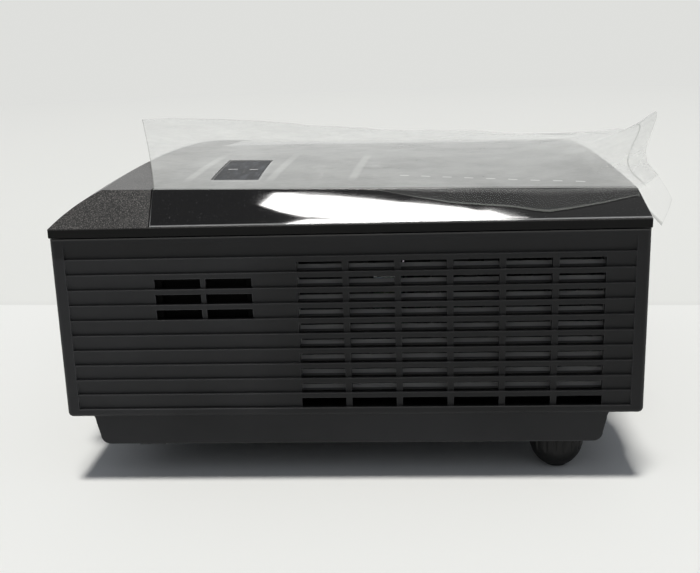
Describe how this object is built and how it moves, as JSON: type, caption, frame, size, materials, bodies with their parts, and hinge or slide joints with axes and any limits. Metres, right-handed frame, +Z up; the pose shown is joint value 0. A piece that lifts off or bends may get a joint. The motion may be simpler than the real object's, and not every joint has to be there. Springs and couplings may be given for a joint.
{
  "type": "projector with disc player",
  "caption": "Table projector with a louvred case, crowned gloss top, front lens, screw feet and a sliding disc tray in its side.",
  "frame": {"origin": "under the middle of the housing, on the surface that the feet stand on", "axes": "+X from the lens end to the connector end, +Y from the louvred side to the tray side, +Z up"},
  "size_m": [0.292, 0.2803, 0.1498],
  "materials": {
    "case_plastic": "fine-grained moulded charcoal plastic",
    "speckled_plastic": "speckled black moulding",
    "piano_black": "polished black",
    "dark_window": "dark transparent window",
    "pale_plastic": "pale grey moulding",
    "knob_plastic": "knurled black",
    "key_plastic": "satin black",
    "rubber": "soft black",
    "steel": "zinc plated",
    "brass": "turned",
    "aluminium": "cast or extruded",
    "ring_rubber": "ribbed black",
    "lens_black": "black anodised",
    "optical_glass": "coated",
    "mirror_glass": "dichroic coated",
    "circuit_board": "solder-masked board",
    "tray_plastic": "moulded black",
    "gear_plastic": "white acetal",
    "film": "milky clear film"
  },
  "bodies": {
    "case": {"lower_case": "case_plastic", "base_plinth": "case_plastic", "lamp_door": "case_plastic", "threaded_inserts": "brass", "case_screws": "steel", "vent_baffle": "pale_plastic", "top_cover": "speckled_plastic", "gloss_panel": "piano_black", "display_window": "dark_window", "key_boards": "circuit_board", "front_bezel": "piano_black", "ir_window": "dark_window", "lens_barrel": "lens_black", "relay_optics": "optical_glass", "optical_casting": "aluminium", "chip_board": "circuit_board", "chip_heat_sink": "aluminium", "wheel_motor": "steel", "lamp_housing": "tray_plastic", "lamp": "mirror_glass", "fan_frame": "knob_plastic", "loader_chassis": "tray_plastic", "clamp_bridge": "steel", "tray_motor": "steel", "power_boards": "circuit_board", "main_board": "circuit_board", "speakers": "tray_plastic", "rear_panel": "case_plastic", "power_inlet": "tray_plastic", "switch_frame": "tray_plastic", "video_sockets": "steel", "sound_sockets": "tray_plastic", "protective_film": "film"},
    "tray": {"disc_tray": "tray_plastic", "tray_bezel": "piano_black"},
    "tray_pinion": {"tray_pinion": "gear_plastic"},
    "traverse": {"traverse": "steel", "guide_rods": "steel", "traverse_motors": "steel"},
    "turntable": {"turntable": "tray_plastic"},
    "sled": {"pickup_sled": "aluminium"},
    "feed_screw": {"feed_screw": "steel"},
    "puck": {"clamp_puck": "gear_plastic"},
    "fan": {"fan_rotor": "knob_plastic"},
    "colour_wheel": {"colour_wheel": "mirror_glass"},
    "focus_ring": {"focus_ring": "ring_rubber"},
    "lens_cell": {"lens_cell": "lens_black", "front_lens": "optical_glass"},
    "rocker": {"rocker": "key_plastic"},
    "power_key": {"power_key": "key_plastic"},
    "source_key": {"source_key": "key_plastic"},
    "menu_key": {"menu_key": "key_plastic"},
    "play_key": {"play_key": "key_plastic"},
    "eject_key": {"eject_key": "key_plastic"},
    "front_foot_pad": {"front_foot_pad": "rubber"},
    "front_foot_knob": {"front_foot_knob": "knob_plastic"},
    "near_foot_pad": {"near_foot_pad": "rubber"},
    "near_foot_knob": {"near_foot_knob": "knob_plastic"},
    "far_foot_pad": {"far_foot_pad": "rubber"},
    "far_foot_knob": {"far_foot_knob": "knob_plastic"}
  },
  "joints": [
    {"name": "tray_slide", "type": "slide", "parent": "case", "child": "tray", "axis": [0, 1, 0], "range_m": [0, 0.14]},
    {"name": "tray_pinion_turn", "type": "hinge", "parent": "case", "child": "tray_pinion", "pos_m": [-0.0255, 0.118, 0.086], "axis": [0, 0, -1], "range_deg": [-1, 765]},
    {"name": "traverse_lift", "type": "hinge", "parent": "case", "child": "traverse", "pos_m": [0.025, -0.03, 0.079], "axis": [1, 0, 0], "range_deg": [0, 4.6]},
    {"name": "turntable_spin", "type": "hinge", "parent": "traverse", "child": "turntable", "pos_m": [0.025, 0.06296, 0.08727], "axis": [0, 0.0802, 0.9968], "continuous": true},
    {"name": "puck_spin", "type": "hinge", "parent": "case", "child": "puck", "pos_m": [0.025, 0.062, 0.104], "axis": [0, 0, 1], "continuous": true},
    {"name": "sled_slide", "type": "slide", "parent": "traverse", "child": "sled", "axis": [0, -0.9968, 0.0802], "range_m": [0, 0.034]},
    {"name": "feed_screw_turn", "type": "hinge", "parent": "traverse", "child": "feed_screw", "pos_m": [0.055, 0.00027, 0.08118], "axis": [0, 0.9968, -0.0802], "range_deg": [-1, 4081]},
    {"name": "fan_spin", "type": "hinge", "parent": "case", "child": "fan", "pos_m": [0.072, -0.12, 0.074], "axis": [0, 1, 0], "continuous": true},
    {"name": "colour_wheel_spin", "type": "hinge", "parent": "case", "child": "colour_wheel", "pos_m": [0.024, -0.072, 0.0935], "axis": [1, 0, 0], "continuous": true},
    {"name": "focus_turn", "type": "hinge", "parent": "case", "child": "focus_ring", "pos_m": [-0.13, -0.072, 0.076], "axis": [-1, 0, 0], "range_deg": [-60, 60]},
    {"name": "focus_travel", "type": "slide", "parent": "case", "child": "lens_cell", "axis": [-1, 0, 0], "range_m": [-0.0015, 0.0015]},
    {"name": "power_rocker", "type": "hinge", "parent": "case", "child": "rocker", "pos_m": [0.127, -0.098, 0.09], "axis": [0, -1, 0], "range_deg": [0, 20]},
    {"name": "power_key_press", "type": "slide", "parent": "case", "child": "power_key", "axis": [0, 0, -1], "range_m": [0, 0.0005], "stiffness_N_per_m": 800, "springref_m": -0.0005},
    {"name": "source_key_press", "type": "slide", "parent": "case", "child": "source_key", "axis": [0, 0, -1], "range_m": [0, 0.0005], "stiffness_N_per_m": 800, "springref_m": -0.0005},
    {"name": "menu_key_press", "type": "slide", "parent": "case", "child": "menu_key", "axis": [0, 0, -1], "range_m": [0, 0.0005], "stiffness_N_per_m": 800, "springref_m": -0.0005},
    {"name": "play_key_press", "type": "slide", "parent": "case", "child": "play_key", "axis": [0, 0, -1], "range_m": [0, 0.0005], "stiffness_N_per_m": 800, "springref_m": -0.0005},
    {"name": "eject_key_press", "type": "slide", "parent": "case", "child": "eject_key", "axis": [0, -1, 0], "range_m": [0, 0.0005], "stiffness_N_per_m": 800, "springref_m": -0.0005},
    {"name": "front_foot_lift", "type": "slide", "parent": "case", "child": "front_foot_pad", "axis": [0, 0, -1], "range_m": [0, 0.01001]},
    {"name": "front_foot_turn", "type": "hinge", "parent": "front_foot_pad", "child": "front_foot_knob", "pos_m": [-0.095, 0, 0.01], "axis": [0, 0, -1], "range_deg": [0, 2880]},
    {"name": "near_foot_lift", "type": "slide", "parent": "case", "child": "near_foot_pad", "axis": [0, 0, -1], "range_m": [0, 0.01001]},
    {"name": "near_foot_turn", "type": "hinge", "parent": "near_foot_pad", "child": "near_foot_knob", "pos_m": [0.095, -0.118, 0.01], "axis": [0, 0, -1], "range_deg": [0, 2880]},
    {"name": "far_foot_lift", "type": "slide", "parent": "case", "child": "far_foot_pad", "axis": [0, 0, -1], "range_m": [0, 0.01001]},
    {"name": "far_foot_turn", "type": "hinge", "parent": "far_foot_pad", "child": "far_foot_knob", "pos_m": [0.095, 0.118, 0.01], "axis": [0, 0, -1], "range_deg": [0, 2880]}
  ],
  "couplings": [
    {"joint": "tray_pinion_turn", "follows": "tray_slide", "rad_per_m": 95.238},
    {"joint": "puck_spin", "follows": "turntable_spin", "ratio": 1},
    {"joint": "feed_screw_turn", "follows": "sled_slide", "rad_per_m": 2094.4},
    {"joint": "focus_travel", "follows": "focus_turn", "m_per_rad": 0.0014324},
    {"joint": "front_foot_lift", "follows": "front_foot_turn", "m_per_rad": 0.00019894},
    {"joint": "near_foot_lift", "follows": "near_foot_turn", "m_per_rad": 0.00019894},
    {"joint": "far_foot_lift", "follows": "far_foot_turn", "m_per_rad": 0.00019894}
  ]
}
